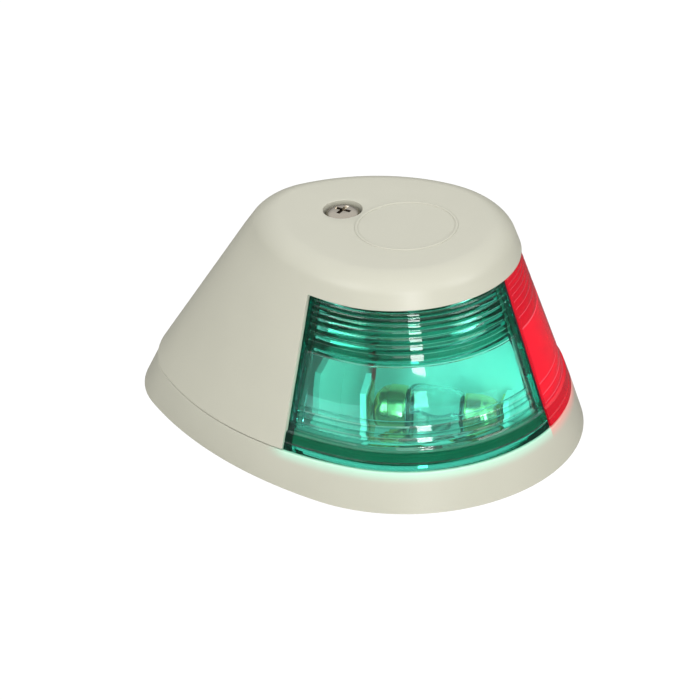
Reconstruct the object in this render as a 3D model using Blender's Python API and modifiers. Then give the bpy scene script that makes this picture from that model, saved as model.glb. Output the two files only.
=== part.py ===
"""Bi-colour navigation light for a boat's bow, in metres, +Z up and +X towards the bow.

The origin is on the deck, under the middle of the base. Starboard (green) is -Y and port (red) is +Y.
The base, its wiring and the two bulbs stay on the deck, with an upright partition between the bulbs. The
cover lifts off upwards with both lenses, once its single screw is out. Every horizontal outline is an egg of four tangent arcs: a front arc, a smaller tail
arc and two long side arcs. An outline is written (front radius, tail radius, distance between the two
arcs' centres, side radius), and it is drawn about the centre of its front arc.
"""
import math

import bmesh
import bpy
from mathutils import Matrix, Vector

# --- Overall shape -------------------------------------------------------------------------------------
LENS_X = 0.0160                                  # centre of the front arc, which is the lens's own centre
DECK_OUTLINE = (0.0392, 0.0253, 0.0455, 0.1140)  # at the deck: 110 mm long and 78 mm wide
SEAM_OUTLINE = (0.0367, 0.0272, 0.0386, 0.0800)  # where the cover meets the base
CROWN_OUTLINE = (0.0250, 0.0143, 0.0205, 0.0400)  # where the side walls would meet the flat top
CROWN_SHIFT = -0.0018                            # the crown's centre lies this much further aft
SEAM_Z = 0.0095
HEIGHT = 0.0520
SHOULDER_RISE = 0.0040                           # height of the rounded edge of the top
SHOULDER_IN = 0.0045                             # width of the rounded edge of the top
GAP = 0.0003                                     # between pieces that touch
COLUMNS = 60                                     # points round an outline

# --- Cover and lenses ----------------------------------------------------------------------------------
COVER_WALL = 0.0024
COVER_ROOF = 0.0026
LENS_TOP_Z = 0.0445
LENS_ANGLE = math.radians(107.5)                 # from dead ahead to the after edge of each lens
LENS_WALL = 0.0028
LENS_INSET = 0.0006                              # lens face behind the cover's face
LENS_FOOT_TOP = 0.0137                           # the foot flange stands prouder below this
LENS_FOOT_INSET = 0.0002
LENS_COLUMNS = 20
SEAM_HALF = 0.0005                               # half the slot between the two lenses
DIVIDER_HALF = 0.00025

# --- Cover screw: a number 8 machine screw, 32 threads to the inch --------------------------------------
SCREW_X = -0.0010
SCREW_R = 0.00208
SCREW_LENGTH = 0.01905
SCREW_HEAD_R = 0.0041
SCREW_HEAD_H = 0.0024
RECESS_R = 0.0045
RECESS_FLOOR = 0.0485
WASHER_LOW = RECESS_FLOOR + 0.00025
WASHER_HIGH = WASHER_LOW + 0.00040
HEAD_LOW = WASHER_HIGH + 0.00015
INSERT_R = 0.0029
INSERT_BORE_R = 0.00235
INSERT_LOW = 0.0306
INSERT_HIGH = 0.0394

# --- Base ----------------------------------------------------------------------------------------------
LEDGE_Z = SEAM_Z - GAP
FLOOR_LOW = 0.0015                               # roof of the gasket's recess
FLOOR_HIGH = 0.0032
RECESS_INSET = 0.0023
SPIGOT_OUT = 0.0036                              # the spigot's outer face, inside the ledge's edge
SPIGOT_IN = 0.0049
SPIGOT_TOP = 0.0116
GROOVE_OUT = 0.0012
GROOVE_IN = 0.0026
GROOVE_Z = 0.0082
BOSS_R = 0.0043
BOSS_TOP = INSERT_HIGH + 0.0002
DECK_SCREWS = [(-0.010, -0.022), (-0.010, 0.022)]
DECK_SCREW_R = 0.00225                           # for number 8 pan-head screws
DECK_PAD_R = 0.0055
DECK_PAD_TOP = 0.0052
CABLE_X = -0.0300
CABLE_R = 0.0045

# --- Bulbs: a 28 mm festoon behind each lens, low down and turned a little across the light ---------------
BULB_X = 0.0288                                  # the filament's middle
BULB_Y = 0.0106                                  # to each side of the centreline
BULB_Z = 0.0137
BULB_TURN = math.radians(22)                     # each bulb's front end is turned inwards
BULB_HALF = 0.0140
CAP_R = 0.0042
CAP_LENGTH = 0.0075
GLASS_R = 0.0047
GLASS_WALL = 0.0005

# --- Bulb holders and contacts -------------------------------------------------------------------------
PLATE_LOW = FLOOR_HIGH + GAP
PLATE_HIGH = 0.0049
PLATE_HALF_Y = 0.0032
POST_TOP = 0.0182
POST_HALF_Y = 0.0028
STRIP = 0.0005                                   # contact strip's thickness
STRIP_HALF_Y = 0.0026
FOOT_LENGTH = 0.0112
EAR_Y = 0.0066                                   # the holder's fixing ears, to each side of its bulb
EAR_R = 0.0033

# --- Light screen: an upright partition on the centreline, from the boss to the bow ------------------------
SCREEN_REAR = 0.0058
SCREEN_TOP = 0.0420
SCREEN_HALF = 0.00065
SOCKET_REAR = 0.0068
SOCKET_FRONT = 0.0205

SIDES = (("starboard", -1), ("port", 1))
ENDS = (("rear", -1), ("front", 1))
EARS = (("right", -1), ("left", 1))              # seen with the bulb's front end pointing away


# --- Outlines ------------------------------------------------------------------------------------------
def inset(outline, amount):
    """The same egg, everywhere smaller by amount."""
    front, tail, spacing, side = outline
    return (front - amount, tail - amount, spacing, side - amount)


def egg_radius(outline, angle):
    """Distance from the front arc's centre to the egg, at an angle from dead ahead."""
    front, tail, spacing, side = outline
    side_x = ((side - tail) ** 2 - (side - front) ** 2 - spacing ** 2) / (2 * spacing)
    side_y = -math.sqrt((side - front) ** 2 - side_x ** 2)
    joint_x = -spacing + tail * (-spacing - side_x) / (side - tail)
    joint_y = tail * -side_y / (side - tail)
    angle = abs(math.remainder(angle, 2 * math.pi))
    if angle <= math.atan2(-side_y, -side_x):
        return front
    if angle <= math.atan2(joint_y, joint_x):
        centre, radius = Vector((side_x, side_y)), side
    else:
        centre, radius = Vector((-spacing, 0)), tail
    along = centre.dot(Vector((math.cos(angle), math.sin(angle))))
    return along + math.sqrt(along ** 2 - centre.length_squared + radius ** 2)


def wall_section(z):
    """Outline of the cover's wall at a height, and the x of its front arc's centre."""
    share = (z - SEAM_Z) / (HEIGHT - SEAM_Z)
    outline = tuple(low + (high - low) * share for low, high in zip(SEAM_OUTLINE, CROWN_OUTLINE))
    return outline, LENS_X + CROWN_SHIFT * share


def ring(outline, x, z):
    """Points round a whole outline, closer together towards the small tail arc."""
    points = []
    for column in range(COLUMNS):
        turn = 2 * math.pi * column / COLUMNS
        angle = turn + 0.5 * math.sin(turn)
        radius = egg_radius(outline, angle)
        points.append(Vector((x + radius * math.cos(angle), radius * math.sin(angle), z)))
    return points


def wall_ring(z, amount):
    """Points round the wall's outline at a height, moved inwards by amount."""
    outline, x = wall_section(z)
    return ring(inset(outline, amount), x, z)


def bow_x(z):
    """Where the wall crosses the centreline at the bow."""
    outline, x = wall_section(z)
    return x + outline[0]


# --- Making objects ------------------------------------------------------------------------------------
def clear_scene():
    for obj in list(bpy.data.objects):
        bpy.data.objects.remove(obj, do_unlink=True)


def make_collection(name):
    made = bpy.data.collections.new(name)
    bpy.context.scene.collection.children.link(made)
    return made


def make_material(name, color, roughness, metallic=0.0, transmission=0.0):
    made = bpy.data.materials.new(name)
    made.use_nodes = True
    shader = made.node_tree.nodes["Principled BSDF"]
    shader.inputs["Base Color"].default_value = (*color, 1)
    shader.inputs["Roughness"].default_value = roughness
    shader.inputs["Metallic"].default_value = metallic
    shader.inputs["Transmission Weight"].default_value = transmission
    made.diffuse_color = (*color, 1)
    return made


def add_object(name, data, material=None):
    """An object in the light's collection, or a cutter or a guide if it has no material."""
    obj = bpy.data.objects.new(name, data)
    if material:
        LIGHT.objects.link(obj)
        data.materials.append(material)
    else:
        TOOLS.objects.link(obj)
        obj.hide_render = True
        obj.display_type = "WIRE"
    return obj


def finish_mesh(bm, name):
    bmesh.ops.recalc_face_normals(bm, faces=bm.faces)
    mesh = bpy.data.meshes.new(name)
    bm.to_mesh(mesh)
    bm.free()
    mesh.shade_smooth()
    mesh.set_sharp_from_angle(angle=math.radians(30))
    return mesh


def loft(name, rings, material=None, closed=False):
    """A solid through rings of equally many points: capped at both ends, or closed on itself."""
    bm = bmesh.new()
    rows = [[bm.verts.new(point) for point in points] for points in rings]
    count = len(rows[0])
    pairs = list(zip(rows, rows[1:]))
    if closed:
        pairs.append((rows[-1], rows[0]))
    for low, high in pairs:
        for i in range(count):
            j = (i + 1) % count
            bm.faces.new((low[i], low[j], high[j], high[i]))
    if not closed:
        bm.faces.new(rows[0])
        bm.faces.new(rows[-1])
    return add_object(name, finish_mesh(bm, name), material)


def box(name, low, high, material=None):
    bm = bmesh.new()
    bmesh.ops.create_cube(bm, size=1)
    size = Vector(high) - Vector(low)
    middle = (Vector(high) + Vector(low)) / 2
    bmesh.ops.transform(bm, matrix=Matrix.Translation(middle) @ Matrix.Diagonal((*size, 1)), verts=bm.verts)
    return add_object(name, finish_mesh(bm, name), material)


def cylinder(name, x, y, z_low, z_high, radius, top_radius=None, segments=28, material=None):
    bm = bmesh.new()
    top = radius if top_radius is None else top_radius
    place = Matrix.Translation((x, y, (z_low + z_high) / 2))
    bmesh.ops.create_cone(bm, cap_ends=True, segments=segments, radius1=radius, radius2=top,
                          depth=z_high - z_low, matrix=place)
    return add_object(name, finish_mesh(bm, name), material)


def turned(name, profile, material, closed=False, segments=24):
    """A turned piece from (radius, height) points, which run down its outer side."""
    mesh = bpy.data.meshes.new(name)
    count = len(profile)
    edges = [(i, (i + 1) % count) for i in range(count if closed else count - 1)]
    mesh.from_pydata([(radius, 0, height) for radius, height in profile], edges, [])
    obj = add_object(name, mesh, material)
    screw = obj.modifiers.new("turn", "SCREW")
    screw.steps = segments
    screw.render_steps = segments
    screw.use_merge_vertices = True
    screw.merge_threshold = 0.00001
    screw.use_smooth_shade = True
    return obj


def turned_arc(start, end, centre, steps):
    """Profile points on the quarter of an ellipse from start to end, whose axes cross at centre."""
    points = []
    for step in range(steps + 1):
        turn = math.pi / 2 * step / steps
        points.append(tuple(c + (s - c) * math.cos(turn) + (e - c) * math.sin(turn)
                            for s, e, c in zip(start, end, centre)))
    return points


def plate(name, outline, half_width, material=None):
    """A flat shape drawn in the XZ plane, with its thickness along Y."""
    curve = bpy.data.curves.new(name, "CURVE")
    curve.dimensions = "2D"
    curve.fill_mode = "BOTH"
    curve.extrude = half_width
    spline = curve.splines.new("POLY")
    spline.points.add(len(outline) - 1)
    for point, (x, z) in zip(spline.points, outline):
        point.co = (x, z, 0, 1)
    spline.use_cyclic_u = True
    guide = bpy.data.objects.new(name + "_outline", curve)
    TOOLS.objects.link(guide)
    guide.rotation_euler = (math.pi / 2, 0, 0)
    return curve_to_mesh(name, guide, material)


def wire(name, points, radius, material):
    """A round wire along points, with flat ends."""
    curve = bpy.data.curves.new(name, "CURVE")
    curve.dimensions = "3D"
    curve.bevel_depth = radius
    curve.bevel_resolution = 2
    curve.use_fill_caps = True
    spline = curve.splines.new("POLY")
    spline.points.add(len(points) - 1)
    for point, place in zip(spline.points, points):
        point.co = (*place, 1)
    guide = bpy.data.objects.new(name + "_path", curve)
    TOOLS.objects.link(guide)
    return curve_to_mesh(name, guide, material)


def curve_to_mesh(name, guide, material):
    """A closed mesh in place of a curve."""
    bpy.context.view_layer.update()
    evaluated = guide.evaluated_get(bpy.context.evaluated_depsgraph_get())
    mesh = bpy.data.meshes.new_from_object(evaluated)
    mesh.transform(guide.matrix_world)
    bpy.data.objects.remove(guide, do_unlink=True)
    bm = bmesh.new()
    bm.from_mesh(mesh)
    bmesh.ops.remove_doubles(bm, verts=bm.verts, dist=0.000001)
    bpy.data.meshes.remove(mesh)
    return add_object(name, finish_mesh(bm, name), material)


def combine(obj, tool, operation):
    boolean = obj.modifiers.new(tool.name, "BOOLEAN")
    boolean.operation = operation
    boolean.solver = "EXACT"
    boolean.object = tool


def cut(obj, *tools):
    for tool in tools:
        combine(obj, tool, "DIFFERENCE")


def join(obj, *tools):
    for tool in tools:
        combine(obj, tool, "UNION")


def lay_forward(obj, x, z):
    """Turn a piece made round Z so that its top points forwards, and set it at a height."""
    obj.rotation_euler = (0, math.pi / 2, 0)
    obj.location = (x, 0, z)


def bulb_place(sign):
    """Where a bulb's own centre and direction lie behind its lens."""
    return Matrix.Translation((BULB_X, sign * BULB_Y, 0)) @ Matrix.Rotation(-sign * BULB_TURN, 4, "Z")


def set_behind_lens(obj, sign):
    """Move a piece made round the bulb's own centre, together with its cutters."""
    tools = [boolean.object for boolean in obj.modifiers if boolean.type == "BOOLEAN"]
    for item in [obj] + tools:
        item.matrix_basis = bulb_place(sign) @ item.matrix_basis


def axis_empty(name, location, *children):
    """An empty on a moving group's axis, with the group parented to it in place."""
    empty = bpy.data.objects.new(name, None)
    LIGHT.objects.link(empty)
    empty.location = location
    for child in children:
        child.parent = empty
        child.matrix_parent_inverse = Matrix.Translation(location).inverted()
    return empty


# --- Base ----------------------------------------------------------------------------------------------
def make_base(material):
    """A shallow tray with a ledge for the cover, a spigot inside it and a tall boss for the screw."""
    tray_inset = inset(SEAM_OUTLINE, SPIGOT_IN)
    base = loft("base", [
        ring(tray_inset, LENS_X, FLOOR_HIGH),
        ring(tray_inset, LENS_X, LEDGE_Z),
        wall_ring(SPIGOT_TOP, SPIGOT_IN),
        wall_ring(SPIGOT_TOP, SPIGOT_OUT),
        wall_ring(LEDGE_Z, SPIGOT_OUT),
        wall_ring(LEDGE_Z, GROOVE_IN),
        wall_ring(GROOVE_Z, GROOVE_IN),
        wall_ring(GROOVE_Z, GROOVE_OUT),
        wall_ring(LEDGE_Z, GROOVE_OUT),
        wall_ring(LEDGE_Z, 2 * GAP),
        ring(inset(SEAM_OUTLINE, GAP / 2), LENS_X, LEDGE_Z - GAP),
        ring(DECK_OUTLINE, LENS_X, 0),
        ring(inset(DECK_OUTLINE, RECESS_INSET), LENS_X, 0),
        ring(inset(DECK_OUTLINE, RECESS_INSET), LENS_X, FLOOR_LOW),
    ], material)
    in_floor = (FLOOR_LOW + FLOOR_HIGH) / 2
    join(base, cylinder("boss", SCREW_X, 0, in_floor, BOSS_TOP, BOSS_R + 0.0002, BOSS_R))
    join(base, box("boss_rib", (SCREW_X - 0.0008, -0.0130, in_floor), (SCREW_X + 0.0008, 0.0130, 0.0150)))
    join(base, cylinder("cable_collar", CABLE_X, 0, in_floor, 0.0050, CABLE_R + 0.0020))
    join(base, box("screen_socket", (SOCKET_REAR, -0.0026, in_floor), (SOCKET_FRONT, 0.0026, 0.0070)))
    for (x, y), (side, _) in zip(DECK_SCREWS, SIDES):
        join(base, cylinder("deck_pad_" + side, x, y, in_floor, DECK_PAD_TOP, DECK_PAD_R, segments=24))
        cut(base, cylinder("deck_hole_" + side, x, y, -0.001, 0.0060, DECK_SCREW_R, segments=24))
    for side, sign in SIDES:
        for ear, across in EARS:
            x, y, _ = bulb_place(sign) @ Vector((0, across * EAR_Y, 0))
            cut(base, cylinder("holder_pilot_%s_%s" % (ear, side), x, y, 0.0020, 0.0060, 0.0012, segments=16))
    cut(base, cylinder("insert_bore", SCREW_X, 0, 0.0290, 0.0410, INSERT_R + GAP))
    cut(base, cylinder("cable_bore", CABLE_X, 0, -0.001, 0.0060, CABLE_R))
    slot_half = SCREEN_HALF + GAP
    cut(base, box("screen_slot", (SCREEN_REAR, -slot_half, FLOOR_HIGH + 0.0001),
                  (screen_foot_x() + 0.0001, slot_half, 0.0080)))
    return base


def make_base_gasket(material):
    """Foam pad in the recess under the base, flush with the deck face."""
    outline = inset(DECK_OUTLINE, RECESS_INSET + GAP)
    gasket = loft("base_gasket", [ring(outline, LENS_X, 0), ring(outline, LENS_X, FLOOR_LOW - GAP)], material)
    for (x, y), (side, _) in zip(DECK_SCREWS, SIDES):
        cut(gasket, cylinder("gasket_hole_" + side, x, y, -0.001, 0.003, DECK_SCREW_R, segments=24))
    cut(gasket, cylinder("gasket_cable_hole", CABLE_X, 0, -0.001, 0.003, CABLE_R))
    return gasket


def make_cover_seal(material):
    """Rubber ring in the ledge's groove, under the rims of the cover and the lenses."""
    low = GROOVE_Z + GAP
    high = LEDGE_Z + 0.0001
    outer, inner = GROOVE_OUT + GAP, GROOVE_IN - GAP
    corners = [(low, outer), (high, outer), (high, inner), (low, inner)]
    return loft("cover_seal", [wall_ring(z, amount) for z, amount in corners], material, closed=True)


def make_threaded_insert(material):
    """Brass insert in the top of the boss."""
    insert = turned("threaded_insert", [
        (INSERT_R, INSERT_HIGH), (INSERT_R, INSERT_LOW),
        (INSERT_BORE_R, INSERT_LOW), (INSERT_BORE_R, INSERT_HIGH)], material, closed=True)
    insert.location = (SCREW_X, 0, 0)
    return insert


def screen_foot_x():
    """Forward end of the screen's foot, inside the spigot."""
    return bow_x(SPIGOT_TOP) - SPIGOT_IN - GAP


def make_light_screen(material):
    """Upright partition, which keeps red light out of the green sector and green out of the red."""
    clearance = LENS_INSET + LENS_WALL + 0.0006
    low = FLOOR_HIGH + 0.0004
    foot_x = screen_foot_x()
    outline = [(SCREEN_REAR, low), (foot_x, low), (foot_x, SPIGOT_TOP), (bow_x(SCREEN_TOP) - clearance, SCREEN_TOP),
               (SCREEN_REAR, SCREEN_TOP)]
    return plate("light_screen", outline, SCREEN_HALF, material)


# --- Bulbs, each made round its own centre ---------------------------------------------------------------
def make_bulb_glass(side, material):
    """Open-ended glass tube with a neck at each end, inside the caps."""
    neck = CAP_R - 0.0011
    half = BULB_HALF - CAP_LENGTH - GAP
    outer = [(neck, half + 0.0030), (neck, half + GAP)]
    outer += turned_arc((neck + 0.0006, half), (GLASS_R, half - 0.0030), (neck + 0.0006, half - 0.0030), 3)
    outer += [(radius, -height) for radius, height in reversed(outer)]
    inner = [(neck - GLASS_WALL, half + 0.0030), (neck - GLASS_WALL, half - 0.0004),
             (GLASS_R - GLASS_WALL, half - 0.0032)]
    inner += [(radius, -height) for radius, height in reversed(inner)]
    glass = turned("bulb_glass_" + side, outer + list(reversed(inner)), material, closed=True, segments=20)
    lay_forward(glass, 0, BULB_Z)
    return glass


def make_bulb_cap(side, end, sign, material):
    """Brass cap: a cup over the glass's neck with a rounded cone at its closed end."""
    profile = [(0, CAP_LENGTH)]
    profile += turned_arc((0.0010, CAP_LENGTH), (CAP_R, CAP_LENGTH - 0.0036), (0.0010, CAP_LENGTH - 0.0036), 4)
    profile += [(CAP_R, 0), (CAP_R - 0.0005, 0), (CAP_R - 0.0005, 0.0038), (0, 0.0038)]
    cap = turned("bulb_cap_%s_%s" % (end, side), profile, material, segments=20)
    lay_forward(cap, sign * (BULB_HALF - CAP_LENGTH), BULB_Z)
    cap.rotation_euler = (0, sign * math.pi / 2, 0)
    return cap


def make_filament(side, material):
    """Tungsten wire in a shallow festoon between the two lead wires."""
    points = []
    for step in range(13):
        share = step / 12 * 2 - 1
        sway = 0.0004 * math.cos(math.pi * step)
        points.append((0.0034 * share, sway, BULB_Z - 0.0008 * (1 - share * share)))
    return wire("bulb_filament_" + side, points, 0.00015, material)


def make_lead_wire(side, end, sign, material):
    """Wire from a cap to one end of the filament."""
    points = [(sign * 0.0095, 0, BULB_Z - 0.0004),
              (sign * 0.0056, 0, BULB_Z - 0.0003),
              (sign * 0.0038, 0, BULB_Z + 0.0002)]
    return wire("lead_wire_%s_%s" % (end, side), points, 0.0002, material)


# --- Bulb holders and contacts, each made round its bulb's centre -----------------------------------------
def strip_x(sign):
    """Face of a contact strip that meets the bulb's end."""
    return sign * (BULB_HALF + 0.0004)


def rivet_x(sign):
    return strip_x(sign) - sign * 0.0030


def terminal_x(sign):
    return strip_x(sign) - sign * 0.0082


def make_bulb_holder(side, material):
    """Insulating bracket on the base's floor, with a post behind each contact strip and two fixing ears."""
    post_near = BULB_HALF + 0.0004 + STRIP + GAP
    post_far = post_near + 0.0013
    holder = box("bulb_holder_" + side, (-post_far, -PLATE_HALF_Y, PLATE_LOW), (post_far, PLATE_HALF_Y, PLATE_HIGH),
                 material)
    for end, sign in ENDS:
        reach = sorted((sign * post_near, sign * post_far))
        join(holder, box("post_%s_%s" % (end, side), (reach[0], -POST_HALF_Y, PLATE_LOW + 0.0005),
                         (reach[1], POST_HALF_Y, POST_TOP)))
        cut(holder, cylinder("rivet_hole_%s_%s" % (end, side), rivet_x(sign), 0, 0.003, 0.006, 0.0015, segments=16))
        cut(holder, cylinder("terminal_hole_%s_%s" % (end, side), terminal_x(sign), 0, 0.003, 0.006, 0.0016,
                             segments=16))
    for ear, across in EARS:
        name = ear + "_" + side
        y = across * EAR_Y
        neck = sorted((across * 0.0020, y))
        join(holder, cylinder("ear_" + name, 0, y, PLATE_LOW, PLATE_HIGH, EAR_R, segments=24))
        join(holder, box("ear_neck_" + name, (-0.0030, neck[0], PLATE_LOW), (0.0030, neck[1], PLATE_HIGH)))
        cut(holder, cylinder("ear_hole_" + name, 0, y, 0.003, 0.006, 0.0014, segments=16))
    return holder


def make_contact(side, end, sign, material):
    """Spring brass strip: a foot on the holder's plate and an upright that presses on the bulb's cap."""
    low = PLATE_HIGH + GAP
    near = strip_x(sign)
    far = near + sign * STRIP
    foot = near - sign * FOOT_LENGTH
    outline = [(foot, low), (far - sign * 0.0004, low), (far, low + 0.0004), (far, POST_TOP - 0.0008),
               (near, POST_TOP - 0.0008), (near, low + STRIP), (foot, low + STRIP)]
    name = end + "_" + side
    contact = plate("contact_" + name, outline, STRIP_HALF_Y, material)
    reach = sorted((near - sign * 0.001, far + sign * 0.001))
    bulb_hole = cylinder("bulb_hole_" + name, 0, 0, reach[0], reach[1], 0.0011, segments=16)
    lay_forward(bulb_hole, 0, BULB_Z)
    cut(contact, bulb_hole)
    cut(contact, cylinder("strip_rivet_hole_" + name, rivet_x(sign), 0, 0.0045, 0.0065, 0.0015, segments=16))
    cut(contact, cylinder("strip_screw_hole_" + name, terminal_x(sign), 0, 0.0045, 0.0065, 0.0016, segments=16))
    return contact


def make_rivet(side, end, sign, material):
    """Rivet through a contact's foot and the holder's plate."""
    head_low = PLATE_HIGH + 2 * GAP + STRIP
    tip = PLATE_LOW + 0.0002
    profile = [(0, head_low + 0.0009)]
    profile += turned_arc((0.0006, head_low + 0.0009), (0.0020, head_low + 0.0001), (0.0006, head_low + 0.0001), 3)
    profile += [(0.0020, head_low), (0.0012, head_low), (0.0012, tip), (0, tip)]
    rivet = turned("contact_rivet_%s_%s" % (end, side), profile, material, segments=16)
    rivet.location = (rivet_x(sign), 0, 0)
    return rivet


def make_small_screw(name, x, y, head_low, head_radius, radius, tip, material):
    """Slotted pan-head screw, pointing down."""
    head_high = head_low + 0.0015
    profile = [(0, head_high)]
    profile += turned_arc((head_radius * 0.5, head_high), (head_radius, head_low + 0.0005),
                          (head_radius * 0.5, head_low + 0.0005), 3)
    profile += [(head_radius, head_low), (radius, head_low), (radius, tip), (0, tip)]
    screw = turned(name, profile, material, segments=16)
    screw.location = (x, y, 0)
    slot_half = head_radius * 1.2
    cut(screw, box(name + "_slot", (x - slot_half, y - 0.0003, head_high - 0.0006),
                   (x + slot_half, y + 0.0003, head_high + 0.001)))
    return screw


def make_bulb(side, side_sign):
    """A bulb in its holder, with its contacts and screws, set behind the lens of one side."""
    pieces = [make_bulb_glass(side, glass), make_filament(side, tungsten), make_bulb_holder(side, holder_plastic)]
    on_strip = PLATE_HIGH + 2 * GAP + STRIP
    for end, sign in ENDS:
        pieces.append(make_bulb_cap(side, end, sign, brass))
        pieces.append(make_lead_wire(side, end, sign, tungsten))
        pieces.append(make_contact(side, end, sign, brass))
        pieces.append(make_rivet(side, end, sign, brass))
        pieces.append(make_small_screw("terminal_screw_%s_%s" % (end, side), terminal_x(sign), 0, on_strip,
                                       0.0026, 0.0013, PLATE_LOW + 0.0002, steel))
    for ear, across in EARS:
        pieces.append(make_small_screw("holder_screw_%s_%s" % (ear, side), 0, across * EAR_Y, PLATE_HIGH + GAP,
                                       0.0025, 0.0009, 0.0022, steel))
    for piece in pieces:
        set_behind_lens(piece, side_sign)


# --- Cover and lenses ----------------------------------------------------------------------------------
def make_cover(material):
    """Drafted shell with a rounded top edge, a window for the lenses and a recess for the screw."""
    inner_top = HEIGHT - COVER_ROOF
    rings = [wall_ring(inner_top, COVER_WALL + 0.0028), wall_ring(inner_top - 0.0022, COVER_WALL + 0.0004)]
    rings += [wall_ring(0.0300, COVER_WALL), wall_ring(SEAM_Z, COVER_WALL), wall_ring(SEAM_Z, 0)]
    rings += [wall_ring(0.0300, 0)]
    for step in range(6):
        turn = math.pi / 2 * step / 5
        z = HEIGHT - SHOULDER_RISE * (1 - math.sin(turn))
        rings.append(wall_ring(z, SHOULDER_IN * (1 - math.cos(turn))))
    cover = loft("cover", rings, material)
    join(cover, cylinder("recess_wall", SCREW_X, 0, 0.0462, HEIGHT - 0.0010, RECESS_R + 0.0018))
    join(cover, cylinder("cover_column", SCREW_X, 0, BOSS_TOP + GAP, 0.0470, BOSS_R - 0.0002, BOSS_R + 0.0002))
    cut(cover, cylinder("screw_recess", SCREW_X, 0, RECESS_FLOOR, HEIGHT + 0.001, RECESS_R))
    cut(cover, cylinder("screw_bore", SCREW_X, 0, 0.0380, RECESS_FLOOR + 0.001, INSERT_BORE_R + 0.0001))
    window = loft("lens_window", [window_section(z) for z in (0, LENS_TOP_Z)])
    cut(cover, window)
    return cover


def window_section(z):
    """Outline of the space in front of the lenses' after edges, at a height."""
    x = wall_section(z)[1]
    reach = 0.060
    back_x = x + reach * math.cos(LENS_ANGLE)
    side_y = reach * math.sin(LENS_ANGLE)
    corners = [(x, 0), (back_x, -side_y), (x + reach, -reach), (x + reach, reach), (back_x, side_y)]
    return [Vector((*corner, z)) for corner in corners]


def lens_section(z, amount, sign):
    """Closed outline of one lens at a height: out along its face and back along its inside."""
    outline, x = wall_section(z)
    after = LENS_ANGLE - math.asin(GAP / SEAM_OUTLINE[0])
    face, inside = [], []
    for depth, points in ((amount, face), (LENS_INSET + LENS_WALL, inside)):
        shape = inset(outline, depth)
        start = math.asin(SEAM_HALF / shape[0])
        for column in range(LENS_COLUMNS + 1):
            angle = start + (after - start) * column / LENS_COLUMNS
            radius = egg_radius(shape, angle)
            points.append(Vector((x + radius * math.cos(angle), sign * radius * math.sin(angle), z)))
    return face, inside


def make_lens(name, sign, material):
    """Half of the wrap-round lens, with a prouder flange along its foot."""
    levels = [(SEAM_Z, LENS_FOOT_INSET), (LENS_FOOT_TOP, LENS_FOOT_INSET), (LENS_FOOT_TOP + 0.0005, LENS_INSET),
              (0.0200, LENS_INSET), (0.0320, LENS_INSET), (LENS_TOP_Z - GAP, LENS_INSET)]
    bm = bmesh.new()
    rows = []
    for z, amount in levels:
        face, inside = lens_section(z, amount, sign)
        rows.append([[bm.verts.new(point) for point in points] for points in (face, inside)])
    for (low_face, low_in), (high_face, high_in) in zip(rows, rows[1:]):
        for i in range(LENS_COLUMNS):
            bm.faces.new((low_face[i], low_face[i + 1], high_face[i + 1], high_face[i]))
            bm.faces.new((low_in[i], low_in[i + 1], high_in[i + 1], high_in[i]))
        for i in (0, LENS_COLUMNS):
            bm.faces.new((low_face[i], low_in[i], high_in[i], high_face[i]))
    for face, inside in (rows[0], rows[-1]):
        for i in range(LENS_COLUMNS):
            bm.faces.new((face[i], face[i + 1], inside[i + 1], inside[i]))
    return add_object(name, finish_mesh(bm, name), material)


def make_lens_divider(material):
    """Dark strip in the slot between the two lenses, at the bow."""
    low, high = SEAM_Z, LENS_TOP_Z - GAP
    outline = [(bow_x(z) - amount, z) for z, amount in (
        (low, LENS_INSET), (high, LENS_INSET), (high, LENS_INSET + LENS_WALL), (low, LENS_INSET + LENS_WALL))]
    return plate("lens_divider", outline, DIVIDER_HALF, material)


# --- Cover screw ---------------------------------------------------------------------------------------
def make_cover_screw(material):
    """Cross-recessed pan-head machine screw."""
    head_high = HEAD_LOW + SCREW_HEAD_H
    tip = HEAD_LOW - SCREW_LENGTH
    profile = [(0, head_high)]
    profile += turned_arc((SCREW_HEAD_R * 0.45, head_high), (SCREW_HEAD_R, HEAD_LOW + 0.0008),
                          (SCREW_HEAD_R * 0.45, HEAD_LOW + 0.0008), 5)
    profile += [(SCREW_HEAD_R, HEAD_LOW), (SCREW_R, HEAD_LOW), (SCREW_R, tip + 0.0006), (SCREW_R - 0.0006, tip),
                (0, tip)]
    screw = turned("cover_screw", [(radius, z - HEAD_LOW) for radius, z in profile], material)
    screw.location = (SCREW_X, 0, HEAD_LOW)
    for name, half_x, half_y in (("cross_slot_x", 0.0022, 0.00045), ("cross_slot_y", 0.00045, 0.0022)):
        cut(screw, box(name, (SCREW_X - half_x, -half_y, head_high - 0.0013),
                       (SCREW_X + half_x, half_y, head_high + 0.001)))
    return screw


def make_screw_washer(material):
    """Sealing washer under the screw's head, which rises with it."""
    washer = turned("screw_washer", [
        (SCREW_HEAD_R - 0.0001, WASHER_HIGH), (SCREW_HEAD_R - 0.0001, WASHER_LOW),
        (INSERT_BORE_R, WASHER_LOW), (INSERT_BORE_R, WASHER_HIGH)], material, closed=True)
    washer.location = (SCREW_X, 0, 0)
    return washer


# --- The whole light -----------------------------------------------------------------------------------
clear_scene()
LIGHT = make_collection("navigation_light")
TOOLS = make_collection("cutters")

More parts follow.
